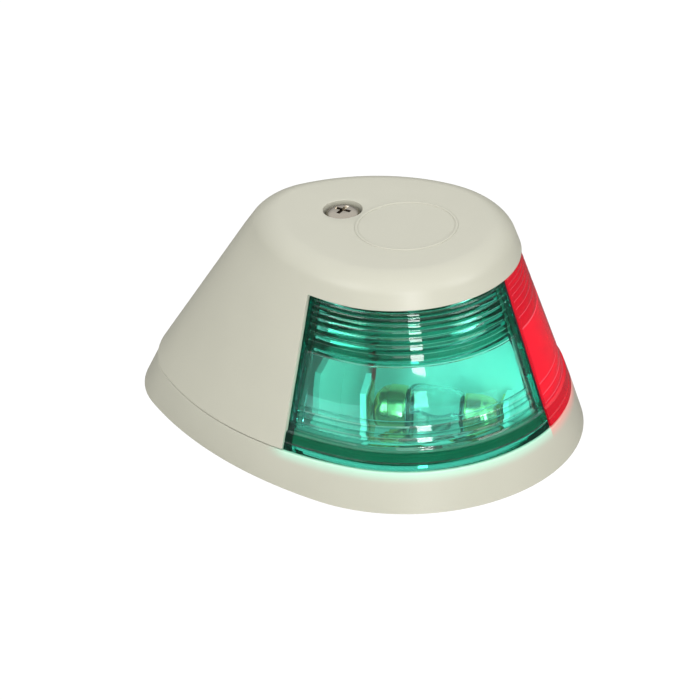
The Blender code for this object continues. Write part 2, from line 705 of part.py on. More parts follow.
IVORY = (0.63, 0.62, 0.54)
housing = make_material("housing_plastic", IVORY, 0.42)
holder_plastic = make_material("holder_plastic", (0.72, 0.70, 0.62), 0.50)
screen_plastic = make_material("screen_plastic", (0.03, 0.03, 0.03), 0.55)
green = make_material("green_acrylic", (0.00, 0.45, 0.28), 0.05, transmission=1.0)
red = make_material("red_acrylic", (0.80, 0.01, 0.03), 0.05, transmission=1.0)
glass = make_material("clear_glass", (0.95, 0.97, 0.97), 0.02, transmission=1.0)
foam = make_material("foam_gasket", (0.05, 0.05, 0.05), 0.90)
rubber = make_material("seal_rubber", (0.03, 0.03, 0.03), 0.60)
brass = make_material("brass", (0.72, 0.52, 0.22), 0.28, 1.0)
steel = make_material("stainless_steel", (0.62, 0.60, 0.56), 0.25, 1.0)
tungsten = make_material("tungsten", (0.25, 0.25, 0.26), 0.40, 1.0)

make_base(housing)
make_base_gasket(foam)
make_cover_seal(rubber)
make_threaded_insert(brass)
make_light_screen(holder_plastic)

for side_name, side_sign in SIDES:
    make_bulb(side_name, side_sign)

lifting_pieces = [
    make_cover(housing),
    make_lens("green_lens", -1, green),
    make_lens("red_lens", 1, red),
    make_lens_divider(screen_plastic),
]
axis_empty("cover_lift_axis", (SCREW_X, 0, SEAM_Z), *lifting_pieces)
axis_empty("screw_axis", (SCREW_X, 0, HEAD_LOW), make_cover_screw(steel), make_screw_washer(rubber))
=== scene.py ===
"""Visual of the bi-colour bow light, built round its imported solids, in metres.

+X is towards the bow, +Z is up, starboard (green) is -Y and port (red) is +Y. An outline is an egg in plan:
the radius of its front arc, the radius of its tail arc, how far the tail's centre is behind the front's, and
the radius of the two side arcs that join them.
"""
import math

import bmesh
import bpy
from mathutils import Matrix, Vector


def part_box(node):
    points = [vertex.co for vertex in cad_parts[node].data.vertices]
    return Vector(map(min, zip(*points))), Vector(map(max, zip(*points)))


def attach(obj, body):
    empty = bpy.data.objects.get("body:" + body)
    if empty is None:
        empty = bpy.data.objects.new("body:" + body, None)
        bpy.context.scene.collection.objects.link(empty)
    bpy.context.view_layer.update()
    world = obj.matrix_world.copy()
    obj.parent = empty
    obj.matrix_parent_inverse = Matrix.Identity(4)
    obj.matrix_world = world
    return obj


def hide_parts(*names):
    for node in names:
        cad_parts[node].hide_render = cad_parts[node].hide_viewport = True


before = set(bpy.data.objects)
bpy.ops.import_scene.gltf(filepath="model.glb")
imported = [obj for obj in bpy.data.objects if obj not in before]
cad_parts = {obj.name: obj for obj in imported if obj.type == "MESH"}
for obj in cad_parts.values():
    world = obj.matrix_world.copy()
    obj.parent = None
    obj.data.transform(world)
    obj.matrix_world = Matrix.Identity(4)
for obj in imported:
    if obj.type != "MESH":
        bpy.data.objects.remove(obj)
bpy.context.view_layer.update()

# --- Shape of the light, as in the frame -----------------------------------------------------------------
LENS_X = 0.0160                          # centre of the front arc at the seam, the lenses' own centre
DECK_OUTLINE = (0.0392, 0.0253, 0.0455, 0.1140)
SEAM_OUTLINE = (0.0367, 0.0272, 0.0386, 0.0800)
CROWN_OUTLINE = (0.0250, 0.0143, 0.0205, 0.0400)
CROWN_SHIFT = -0.0018                    # of the front arc's centre, from the seam up to the crown
SEAM_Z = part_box("cover")[0][2]           # foot of the cover and of the lenses
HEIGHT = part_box("cover")[1][2]
LEDGE_Z = SEAM_Z - 0.0003                # the base's ledge under the cover
LENS_TOP_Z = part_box("green_lens")[1][2]
SHOULDER_RISE = 0.0040                   # the rounded top edge's height
SHOULDER_IN = 0.0045                     # and its depth inwards
LENS_ANGLE = math.radians(107.5)         # from dead ahead to the after edge of each lens
EMBOSS_HEIGHT = 0.00022                  # of the ring above the roof
ROOF_Z = HEIGHT - EMBOSS_HEIGHT
SCREW_X = -0.0010

# --- Camera ----------------------------------------------------------------------------------------------
CAMERA_AZIMUTH = math.radians(56.14)     # from the bow towards starboard
CAMERA_ELEVATION = math.radians(29.97)
CAMERA_ROLL = math.radians(2.77)
CAMERA_DISTANCE = 0.8566
CAMERA_LENS = 190.3
AIM_RIGHT = -0.0140                      # what the camera looks at, from the lens's centre on the deck
AIM_UP = 0.0176


# --- Outlines --------------------------------------------------------------------------------------------
def inset(outline, amount):
    """An egg that lies inside the given one by an amount, all the way round."""
    front, tail, spacing, side = outline
    return (front - amount, tail - amount, spacing, side - amount)


def egg_radius(outline, angle):
    """Distance from the front arc's centre to the egg, at an angle from dead ahead."""
    front, tail, spacing, side = outline
    side_x = ((side - tail) ** 2 - (side - front) ** 2 - spacing ** 2) / (2 * spacing)
    side_y = -math.sqrt((side - front) ** 2 - side_x ** 2)
    joint_x = -spacing + tail * (-spacing - side_x) / (side - tail)
    joint_y = tail * -side_y / (side - tail)
    angle = abs(math.remainder(angle, 2 * math.pi))
    if angle <= math.atan2(-side_y, -side_x):
        return front
    if angle <= math.atan2(joint_y, joint_x):
        centre, radius = Vector((side_x, side_y)), side
    else:
        centre, radius = Vector((-spacing, 0)), tail
    along = centre.dot(Vector((math.cos(angle), math.sin(angle))))
    return along + math.sqrt(along ** 2 - centre.length_squared + radius ** 2)


def wall_section(z):
    """Outline of the cover's wall at a height, and the x of its front arc's centre."""
    share = (z - SEAM_Z) / (HEIGHT - SEAM_Z)
    outline = tuple(low + (high - low) * share for low, high in zip(SEAM_OUTLINE, CROWN_OUTLINE))
    return outline, LENS_X + CROWN_SHIFT * share


WINDOW_COLUMNS = 128                     # of faces round the window
TAIL_COLUMNS = 96                        # and round the rest of an egg
ANGLES = [-LENS_ANGLE + 2 * LENS_ANGLE * i / WINDOW_COLUMNS for i in range(WINDOW_COLUMNS)]
ANGLES += [LENS_ANGLE + (2 * math.pi - 2 * LENS_ANGLE) * i / TAIL_COLUMNS for i in range(TAIL_COLUMNS)]


def ring(outline, x, z):
    """Points round an egg, with its front arc's centre at x."""
    return [Vector((x + egg_radius(outline, a) * math.cos(a), egg_radius(outline, a) * math.sin(a), z))
            for a in ANGLES]


def wall_ring(z, amount, at_z=None):
    """The wall's outline for height z, moved inwards by amount and set at at_z."""
    outline, x = wall_section(z)
    return ring(inset(outline, amount), x, z if at_z is None else at_z)


def circle(x, z, radius):
    """Points round a circle, as many as in a ring."""
    return [Vector((x + radius * math.cos(a), radius * math.sin(a), z)) for a in ANGLES]


def between(low, high, share):
    """Points part of the way from one ring to another."""
    return [a.lerp(b, share) for a, b in zip(low, high)]


# --- Meshes ----------------------------------------------------------------------------------------------
SHARP_DEGREES = 35                       # edges that turn by more stay sharp
BEVEL_DEGREES = 40                       # edges that turn by more are rounded
PILLAR_EDGE = 0.0003
AXIS_R = 1e-7                            # a profile point nearer to the axis than this lies on it


def finish_mesh(bm, name, sharp=SHARP_DEGREES):
    """Turn a bmesh into a mesh with smooth faces and sharp edges."""
    bmesh.ops.recalc_face_normals(bm, faces=bm.faces)
    mesh = bpy.data.meshes.new(name)
    bm.to_mesh(mesh)
    bm.free()
    mesh.shade_smooth()
    mesh.set_sharp_from_angle(angle=math.radians(sharp))
    return mesh


def add(name, mesh, material):
    """Put a mesh into the scene as an object of one material."""
    obj = bpy.data.objects.new(name, mesh)
    bpy.context.scene.collection.objects.link(obj)
    obj.data.materials.append(material)
    return obj


def loft(name, rings, material):
    """Faces between rings of equally many points, capped at both ends."""
    bm = bmesh.new()
    rows = [[bm.verts.new(point) for point in points] for points in rings]
    count = len(rows[0])
    for low, high in zip(rows, rows[1:]):
        for i in range(count):
            j = (i + 1) % count
            bm.faces.new((low[i], low[j], high[j], high[i]))
    bm.faces.new(rows[0])
    bm.faces.new(rows[-1])
    return add(name, finish_mesh(bm, name), material)


def round_edges(obj, width, segments=3):
    """Small roundings along an object's sharp edges."""
    bevel = obj.modifiers.new("rounded_edges", "BEVEL")
    bevel.width = width
    bevel.segments = segments
    bevel.limit_method = "ANGLE"
    bevel.angle_limit = math.radians(BEVEL_DEGREES)
    bevel.harden_normals = False


def turned(name, profile, material, segments=64, closed=False):
    """A piece made round Z from (radius, height) points; a point on the axis closes an end."""
    bm = bmesh.new()
    rows = []
    for radius, height in profile:
        turns = [2 * math.pi * i / segments for i in range(segments if radius > AXIS_R else 1)]
        rows.append([bm.verts.new((radius * math.cos(a), radius * math.sin(a), height)) for a in turns])
    pairs = list(zip(rows, rows[1:]))
    if closed:
        pairs.append((rows[-1], rows[0]))
    for low, high in pairs:
        for i in range(segments):
            j = (i + 1) % segments
            corners = [low[i % len(low)], low[j % len(low)], high[j % len(high)], high[i % len(high)]]
            bm.faces.new(list(dict.fromkeys(corners)))
    return add(name, finish_mesh(bm, name), material)


def arc(start, end, centre, steps):
    """Profile points on the quarter of an ellipse from start to end, whose axes cross at centre."""
    points = []
    for step in range(steps + 1):
        turn = math.pi / 2 * step / steps
        points.append(tuple(c + (s - c) * math.cos(turn) + (e - c) * math.sin(turn)
                            for s, e, c in zip(start, end, centre)))
    return points


def pillar(name, x, y, low, high, radius, foot_radius=None):
    """A round tool with a rounded top edge, as wide at its foot unless told otherwise."""
    foot = radius if foot_radius is None else foot_radius
    crest, brim = high - PILLAR_EDGE, radius - PILLAR_EDGE
    profile = [(0, low), (foot, low)]
    profile += arc((radius, crest), (brim, high), (brim, crest), 4)
    profile.append((0, high))
    obj = turned(name, profile, HOUSING, segments=48)
    obj.location = (x, y, 0)
    return obj


def block(name, low, high):
    """A box-shaped tool between two corners."""
    bm = bmesh.new()
    bmesh.ops.create_cube(bm, size=1)
    size = Vector(high) - Vector(low)
    middle = (Vector(high) + Vector(low)) / 2
    bmesh.ops.transform(bm, matrix=Matrix.Translation(middle) @ Matrix.Diagonal((*size, 1)), verts=bm.verts)
    return add(name, finish_mesh(bm, name), HOUSING)


def combine(obj, operation, *tools):
    """Join tools to an object or cut them out of it; settle makes it final."""
    for tool in tools:
        modifier = obj.modifiers.new(tool.name, "BOOLEAN")
        modifier.operation = operation
        modifier.solver = "EXACT"
        modifier.object = tool


def settle(obj):
    """Apply an object's modifiers and remove the tools that they used."""
    tools = [modifier.object for modifier in obj.modifiers if modifier.type == "BOOLEAN"]
    bpy.context.view_layer.update()
    evaluated = obj.evaluated_get(bpy.context.evaluated_depsgraph_get())
    mesh = bpy.data.meshes.new_from_object(evaluated)
    obj.modifiers.clear()
    obj.data = mesh
    mesh.shade_smooth()
    mesh.set_sharp_from_angle(angle=math.radians(SHARP_DEGREES))
    for tool in tools:
        bpy.data.objects.remove(tool, do_unlink=True)


# --- Materials -------------------------------------------------------------------------------------------
TONE_SCALE = 90                          # of the faint changes of tone
TONE_SPREAD = 0.03
GLOSS_SPREAD = 0.1
CLEAR_ROUGHNESS = 0.015


def new_material(name):
    """A material with nodes, and its nodes and links."""
    material = bpy.data.materials.new(name)
    material.use_nodes = True
    return material, material.node_tree.nodes, material.node_tree.links


def solid_material(name, color, roughness, metallic=0.0, grain=(2500, 0.00001)):
    """A surface with fine grain (its scale and depth), a faint change of tone and a matching one of gloss."""
    material, nodes, links = new_material(name)
    shader = nodes["Principled BSDF"]
    shader.inputs["Metallic"].default_value = metallic
    place = nodes.new("ShaderNodeTexCoord")
    tone = nodes.new("ShaderNodeTexNoise")
    tone.inputs["Scale"].default_value = TONE_SCALE
    tone.inputs["Detail"].default_value = 4
    links.new(place.outputs["Object"], tone.inputs["Vector"])
    shade = nodes.new("ShaderNodeMix")
    shade.data_type = "RGBA"
    shade.inputs["A"].default_value = (*[c * (1 - TONE_SPREAD) for c in color], 1)
    shade.inputs["B"].default_value = (*[min(1, c * (1 + TONE_SPREAD)) for c in color], 1)
    links.new(tone.outputs["Fac"], shade.inputs["Factor"])
    links.new(shade.outputs["Result"], shader.inputs["Base Color"])
    gloss = nodes.new("ShaderNodeMapRange")
    gloss.inputs["To Min"].default_value = roughness * (1 - GLOSS_SPREAD)
    gloss.inputs["To Max"].default_value = roughness * (1 + GLOSS_SPREAD)
    links.new(tone.outputs["Fac"], gloss.inputs["Value"])
    links.new(gloss.outputs["Result"], shader.inputs["Roughness"])
    fine = nodes.new("ShaderNodeTexNoise")
    fine.inputs["Scale"].default_value = grain[0]
    fine.inputs["Detail"].default_value = 2
    links.new(place.outputs["Object"], fine.inputs["Vector"])
    bump = nodes.new("ShaderNodeBump")
    bump.inputs["Distance"].default_value = grain[1]
    bump.inputs["Strength"].default_value = 1.0
    links.new(fine.outputs["Fac"], bump.inputs["Height"])
    links.new(bump.outputs["Normal"], shader.inputs["Normal"])
    return material


def node_math(nodes, links, operation, first, second=None):
    """A maths node fed by numbers or by other nodes' outputs."""
    made = nodes.new("ShaderNodeMath")
    made.operation = operation
    for socket, value in zip(made.inputs, (first, second)):
        if value is None:
            continue
        if isinstance(value, (int, float)):
            socket.default_value = value
        else:
            links.new(value, socket)
    return made.outputs["Value"]


def ramp(nodes, links, value, low, high):
    """0 at low and 1 at high, smooth between them; low may be the larger one."""
    made = nodes.new("ShaderNodeMapRange")
    made.interpolation_type = "SMOOTHSTEP"
    made.inputs["From Min"].default_value = low
    made.inputs["From Max"].default_value = high
    links.new(value, made.inputs["Value"])
    return made.outputs["Result"]


def place_on_light(nodes, links):
    """Where a point of the surface lies, by name.

    These are its y, its height z, its distance across from the centreline, its distance away from the lenses'
    axis, and its angle from dead ahead about that axis.
    """
    place = nodes.new("ShaderNodeTexCoord")
    split = nodes.new("ShaderNodeSeparateXYZ")
    links.new(place.outputs["Object"], split.inputs["Vector"])
    across = node_math(nodes, links, "ABSOLUTE", split.outputs["Y"])
    ahead = node_math(nodes, links, "SUBTRACT", split.outputs["X"], TINT_X)
    angle = node_math(nodes, links, "ARCTAN2", across, ahead)
    squares = [node_math(nodes, links, "MULTIPLY", side, side) for side in (across, ahead)]
    away = node_math(nodes, links, "SQRT", node_math(nodes, links, "ADD", *squares))
    return {"y": split.outputs["Y"], "z": split.outputs["Z"], "across": across, "away": away, "angle": angle}


def mix_colors(nodes, links, factor, first, second):
    """The first colour where the factor is 0 and the second where it is 1, each a colour or an output."""
    made = nodes.new("ShaderNodeMix")
    made.data_type = "RGBA"
    links.new(factor, made.inputs["Factor"])
    for socket, value in ((made.inputs["A"], first), (made.inputs["B"], second)):
        if isinstance(value, tuple):
            socket.default_value = (*value, 1)
        else:
            links.new(value, socket)
    return made.outputs["Result"]


def paint_lens_glow(material):
    """Light from each lens painted into the base's colour on its wall just under it: mint to starboard and
    pink to port.

    It is on the outer wall alone, not on the ledge inside it.
    """
    nodes, links = material.node_tree.nodes, material.node_tree.links
    shader = nodes["Principled BSDF"]
    plain = shader.inputs["Base Color"].links[0].from_socket
    spot = place_on_light(nodes, links)
    # painted light: a mint or pink tint where the lenses' light falls on the wall
    near = node_math(nodes, links, "MULTIPLY", ramp(nodes, links, spot["z"], GLOW_LOW, LEDGE_Z),
                     ramp(nodes, links, spot["angle"], LENS_ANGLE + GLOW_FADE[0], LENS_ANGLE - GLOW_FADE[1]))
    near = node_math(nodes, links, "MULTIPLY", near, ramp(nodes, links, spot["away"], *GLOW_R))
    factor = node_math(nodes, links, "MULTIPLY", near, GLOW_SHARE)
    port = node_math(nodes, links, "GREATER_THAN", spot["y"], 0.0)
    glow = mix_colors(nodes, links, port, GLOW_GREEN, GLOW_RED)
    links.new(mix_colors(nodes, links, factor, plain, glow), shader.inputs["Base Color"])


def paint_lens_light_and_shade(material, surface, deep, pale):
    """Painted shade and highlights on a lens: a deeper colour painted as shade over the ridges above the
    clear band, over the foot and at both ends, with a painted highlight line and a painted shade line along
    each ridge.

    Ridge n starts where the square of the height from the clear band's middle, over the band's half height
    squared, is n; so the fraction of that square runs from 0 to 1 across every ridge.
    """
    nodes, links = material.node_tree.nodes, material.node_tree.links

    def times(first, second):
        return node_math(nodes, links, "MULTIPLY", first, second)

    spot = place_on_light(nodes, links)
    height = node_math(nodes, links, "SUBTRACT", spot["z"], LENS_CENTRE_Z)
    offset = node_math(nodes, links, "DIVIDE", height, LENS_BAND)
    square = times(offset, offset)
    part = node_math(nodes, links, "FRACT", square)
    ridged = node_math(nodes, links, "GREATER_THAN", square, 1.0)
    # painted shade: a deeper colour over the ridges above the clear band
    upper = times(ridged, ramp(nodes, links, offset, *UPPER_START))
    color = mix_colors(nodes, links, times(upper, UPPER_SHADE_SHARE), surface, deep)
    # painted shade: a dark line along each ridge
    painted_shade_line = times(ridged, ramp(nodes, links, part, *PAINTED_SHADE_LINE))
    color = mix_colors(nodes, links, times(painted_shade_line, SHADE_LINE_SHARE), color, deep)
    # painted highlight: a pale line along each ridge
    painted_highlight_line = times(ridged, ramp(nodes, links, part, *PAINTED_HIGHLIGHT_LINE))
    color = mix_colors(nodes, links, painted_highlight_line, color, pale)
    # painted shade: a deeper colour over the foot and along both ends of the lens
    foot = ramp(nodes, links, spot["z"], FOOT_TOP + FOOT_EDGE[0], FOOT_TOP - FOOT_EDGE[1])
    after = ramp(nodes, links, spot["angle"], LENS_ANGLE - AFTER_EDGE[0], LENS_ANGLE - AFTER_EDGE[1])
    bow = ramp(nodes, links, spot["across"], *BOW_EDGE)
    edges = node_math(nodes, links, "MAXIMUM", after, bow)
    edges = node_math(nodes, links, "MAXIMUM", edges, times(foot, FOOT_SHADE_SHARE))
    links.new(mix_colors(nodes, links, edges, color, deep), nodes["Principled BSDF"].inputs["Base Color"])


def clear_material(name, surface, absorbed, density, ior=1.49, haze=0.0, gloss=0.5):
    """Clear plastic or glass, whose colour deepens with the light's path through it.

    Rays from the lamps pass straight through, tinted by each of its two faces, so they light what is inside.
    """
    material, nodes, links = new_material(name)
    shader = nodes["Principled BSDF"]
    shader.inputs["Base Color"].default_value = (*surface, 1)
    shader.inputs["Roughness"].default_value = CLEAR_ROUGHNESS
    shader.inputs["IOR"].default_value = ior
    shader.inputs["Specular IOR Level"].default_value = gloss
    shader.inputs["Transmission Weight"].default_value = 1 - haze
    tinted = nodes.new("ShaderNodeBsdfTransparent")
    tinted.inputs["Color"].default_value = (*[math.sqrt(c) for c in surface], 1)
    path = nodes.new("ShaderNodeLightPath")
    mix = nodes.new("ShaderNodeMixShader")
    links.new(path.outputs["Is Shadow Ray"], mix.inputs["Fac"])
    links.new(shader.outputs["BSDF"], mix.inputs[1])
    links.new(tinted.outputs["BSDF"], mix.inputs[2])
    links.new(mix.outputs["Shader"], nodes["Material Output"].inputs["Surface"])
    if density:
        absorb = nodes.new("ShaderNodeVolumeAbsorption")
        absorb.inputs["Color"].default_value = (*absorbed, 1)
        absorb.inputs["Density"].default_value = density
        links.new(absorb.outputs["Volume"], nodes["Material Output"].inputs["Volume"])
    return material


FOOT_TOP = 0.0137                        # top of the flange along a lens's foot
GLOW_LOW = 0.0064                        # height at which the glow under the lenses ends
GLOW_SHARE = 0.60                        # of the glow's colour, at its strongest
GLOW_GREEN = (0.42, 0.80, 0.62)
GLOW_RED = (0.85, 0.32, 0.28)
GLOW_FADE = (0.10, 0.06)                 # radians past and before a lens's after edge
GLOW_R = (0.0358, 0.0362)                # from the lenses' axis, where the outer wall starts
TINT_X = LENS_X - 0.0008                 # the lenses' axis at the middle of their height
LENS_CENTRE_Z = 0.0256                   # the middle of the clear band
LENS_BAND = 0.0064                       # half of the clear band; ridge n starts at LENS_BAND * sqrt(n)
UPPER_START = (0.9, 1.1)                 # in half bands above the clear band's middle
UPPER_SHADE_SHARE = 0.90                       # of the deep colour painted as shade, over the ridges above the clear band
PAINTED_SHADE_LINE = (0.30, 0.12)                 # parts of a ridge over which its painted shade line comes in
SHADE_LINE_SHARE = 0.6                         # of the deep colour painted as shade, in that line
PAINTED_HIGHLIGHT_LINE = (0.13, 0.08)                 # parts of a ridge over which its painted highlight line comes in
FOOT_EDGE = (0.0002, 0.0003)             # above and below the foot flange's top
FOOT_SHADE_SHARE = 0.92                        # of the deep colour painted as shade, over the foot
AFTER_EDGE = (0.045, 0.030)              # radians before a lens's after edge, where painted shade comes in
BOW_EDGE = (0.0016, 0.0011)              # from the centreline, where painted shade comes in at the bow
GREEN_SURFACE = (0.48, 1.0, 0.93)
RED_SURFACE = (1.0, 0.02, 0.05)

IVORY = (0.412, 0.406, 0.335)
HOUSING = solid_material("ivory_plastic", IVORY, 0.38)
BASE_IVORY_PAINTED_GLOW = solid_material("base_ivory_plastic_painted_glow", IVORY, 0.38)
# the base's plastic, with the lenses' light painted on its outer wall
paint_lens_glow(BASE_IVORY_PAINTED_GLOW)
HOLDER = solid_material("white_plastic", (0.86, 0.86, 0.82), 0.45)
# paler plastic for the inside faces, partly their own colour and partly painted light that brightens the
# shaded inside
INSIDE = solid_material("inner_plastic_with_painted_light", (0.72, 0.72, 0.66), 0.45)
BLACK = solid_material("black_plastic", (0.012, 0.012, 0.012), 0.50)
RUBBER = solid_material("black_rubber", (0.02, 0.02, 0.02), 0.65, grain=(1500, 0.00003))
FOAM = solid_material("closed_cell_foam", (0.035, 0.035, 0.035), 0.9, grain=(900, 0.0002))
BRASS = solid_material("brass", (0.80, 0.58, 0.26), 0.22, metallic=1.0)
STEEL = solid_material("stainless_steel", (0.35, 0.32, 0.27), 0.20, metallic=1.0)
TUNGSTEN = solid_material("tungsten", (0.25, 0.25, 0.26), 0.4, metallic=1.0)
GREEN = clear_material("green_acrylic", GREEN_SURFACE, (0.2, 0.93, 0.82), 150, haze=0.02)
# both lenses get painted shade and painted highlight lines on their ridges, foot and ends
paint_lens_light_and_shade(GREEN, GREEN_SURFACE, (0.001, 0.24, 0.15), (0.94, 1.0, 0.99))
RED = clear_material("red_acrylic", RED_SURFACE, (0.96, 0.0, 0.10), 300, haze=0.50, gloss=0.2)
paint_lens_light_and_shade(RED, RED_SURFACE, (0.70, 0.01, 0.03), (1.0, 0.12, 0.18))
GLASS = clear_material("bulb_glass", (0.97, 0.99, 0.98), (1, 1, 1), 0, ior=1.47)


# --- Cover -----------------------------------------------------------------------------------------------
COVER_WALL = 0.0024
ROOF_UNDER = HEIGHT - 0.0026
INSIDE_SLACK = 0.0001                    # kept clear of a limit, in telling which faces are inside
RECESS_R = 0.0045                        # round the screw's head
RECESS_FLOOR = 0.0485
RECESS_UNDER = 0.0462                    # underside of the recess's floor
RECESS_WALL = 0.0018
MOUTH_EDGE = 0.00015
ROOF_SHARES = (0.3, 0.6, 0.85)           # of the way from the roof's rim to the recess
BORE_R = 0.00245                         # clear hole for the screw
COLUMN_R = 0.0043                        # of the column under the recess
COLUMN_DRAFT = 0.0002
COLUMN_FOOT = 0.0399
FILLET_IN = 0.0028                       # where the roof's underside meets the wall
FILLET_MID = 0.0004
FILLET_DROP = 0.0022
WINDOW_TOP = LENS_TOP_Z + 0.0003
COVER_EDGE = 0.0002


def egg_inset(spot):
    """How far a point lies inside the wall's outline, or inside the outline of the wall's foot below it."""
    outline, x = wall_section(max(spot.z, SEAM_Z))
    away = Vector((spot.x - x, spot.y))
    return egg_radius(outline, math.atan2(away.y, away.x)) - away.length


def whiten_inside(obj, is_inside):
    """Paler colour on the faces that lie inside the closed light, below its roof: partly the inside's own
    whiter plastic, partly painted light that brightens the shaded inside.
    """
    obj.data.materials.append(INSIDE)
    for polygon in obj.data.polygons:
        if polygon.center.z < ROOF_UNDER + INSIDE_SLACK and is_inside(polygon.center):
            polygon.material_index = 1


def quarter_turns(steps):
    """(sine, cosine) of the angles from 0 to a right angle, in equal steps."""
    turns = [math.pi / 2 * step / steps for step in range(steps + 1)]
    return [(math.sin(turn), math.cos(turn)) for turn in turns]


def cover_rings():
    """Rings from the seam up over the roof and down the recess, then back inside to the seam."""
    rings = [wall_ring(SEAM_Z, 0), wall_ring(WINDOW_TOP, 0)]
    for sine, cosine in quarter_turns(12):
        drop = SHOULDER_RISE * (1 - sine)
        rings.append(wall_ring(HEIGHT - drop, SHOULDER_IN * (1 - cosine), ROOF_Z - drop))
    mouth = circle(SCREW_X, ROOF_Z, RECESS_R + MOUTH_EDGE)
    rings += [between(rings[-1], mouth, share) for share in ROOF_SHARES]
    for sine, cosine in quarter_turns(4):
        rings.append(circle(SCREW_X, ROOF_Z - MOUTH_EDGE * (1 - cosine), RECESS_R + MOUTH_EDGE * (1 - sine)))
    hole = [(RECESS_FLOOR, RECESS_R), (RECESS_FLOOR, BORE_R), (COLUMN_FOOT, BORE_R), (COLUMN_FOOT, COLUMN_R),
            (RECESS_UNDER, COLUMN_R + COLUMN_DRAFT), (RECESS_UNDER, RECESS_R + RECESS_WALL),
            (ROOF_UNDER, RECESS_R + RECESS_WALL)]
    rings += [circle(SCREW_X, z, radius) for z, radius in hole]
    walls = [(ROOF_UNDER, FILLET_IN), (ROOF_UNDER - FILLET_DROP, FILLET_MID), (WINDOW_TOP, 0), (SEAM_Z, 0)]
    rings += [wall_ring(z, COVER_WALL + amount) for z, amount in walls]
    return rings


def make_cover():
    """Drafted shell with a rounded top edge, a window for the lenses and a recess for the screw."""
    rings = cover_rings()
    inner_top = len(rings) - 2
    bm = bmesh.new()
    rows = [[bm.verts.new(point) for point in points] for points in rings]
    count = len(ANGLES)
    for low in range(len(rows)):
        high = (low + 1) % len(rows)
        for i in range(count):
            j = (i + 1) % count
            in_window = i < WINDOW_COLUMNS and low in (0, inner_top, len(rows) - 1)
            if not in_window:
                bm.faces.new((rows[low][i], rows[low][j], rows[high][j], rows[high][i]))
    for i in range(WINDOW_COLUMNS):
        bm.faces.new((rows[1][i], rows[1][i + 1], rows[inner_top][i + 1], rows[inner_top][i]))
    for i in (0, WINDOW_COLUMNS):
        bm.faces.new((rows[0][i], rows[1][i], rows[inner_top][i], rows[-1][i]))
    loose = [v for v in bm.verts if not v.link_faces]
    bmesh.ops.delete(bm, geom=loose, context="VERTS")
    cover = add("cover_shell", finish_mesh(bm, "cover_shell"), HOUSING)
    whiten_inside(cover, lambda spot: egg_inset(spot) > COVER_WALL * 0.9)
    round_edges(cover, COVER_EDGE)
    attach(cover, "cover")
    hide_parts("cover")


# --- Base ------------------------------------------------------------------------------------------------
FLOOR_Z = 0.0032
UNDER_Z = 0.0015                         # underside of the floor, over the gasket's recess
SINK = 0.0008                            # how deep the pieces on the floor go into it
THROUGH = (-0.001, 0.007)                # heights of a tool that cuts through the floor
TRAY_INSET = 0.0049                      # inner face of the rim
WHITE_INSET = 0.0047                     # faces further in are the paler ones
SPIGOT_TOP = 0.0116                      # the rim inside the cover's wall
SPIGOT_INSET = 0.0036
GROOVE_FLOOR = 0.0082                    # of the cover seal's groove in the ledge
GROOVE_INSETS = (0.0012, 0.0026)
LEDGE_EDGE = 0.0004
DECK_INSET = 0.00003
GASKET_INSET = 0.0023
BOSS_TOP = 0.0396
BOSS_R = 0.0043
BOSS_FOOT_R = 0.0045
INSERT_HOLE = (0.0290, 0.0410, 0.0032)   # its foot, the tool's top and its radius
RIB_HALF = (0.0008, 0.0130)              # half its thickness and half its width
RIB_TOP = 0.0150
CABLE_X = -0.0300
COLLAR_TOP = 0.0050
COLLAR_R = 0.0065
CABLE_R = 0.0045
SOCKET_X = (0.0068, 0.0205)              # the light screen's socket, from the rear to the front
SOCKET_HALF = 0.0026
SOCKET_TOP = 0.0070
SLOT_X = (0.0058, 0.0300)
SLOT_HALF = 0.00095
SLOT_TOP = 0.0080
DECK_SCREW_X = -0.0100
DECK_SCREW_Y = 0.0220
PAD_TOP = 0.0052
PAD_R = 0.0055
DECK_HOLE_R = 0.00225
BASE_EDGE = 0.00018


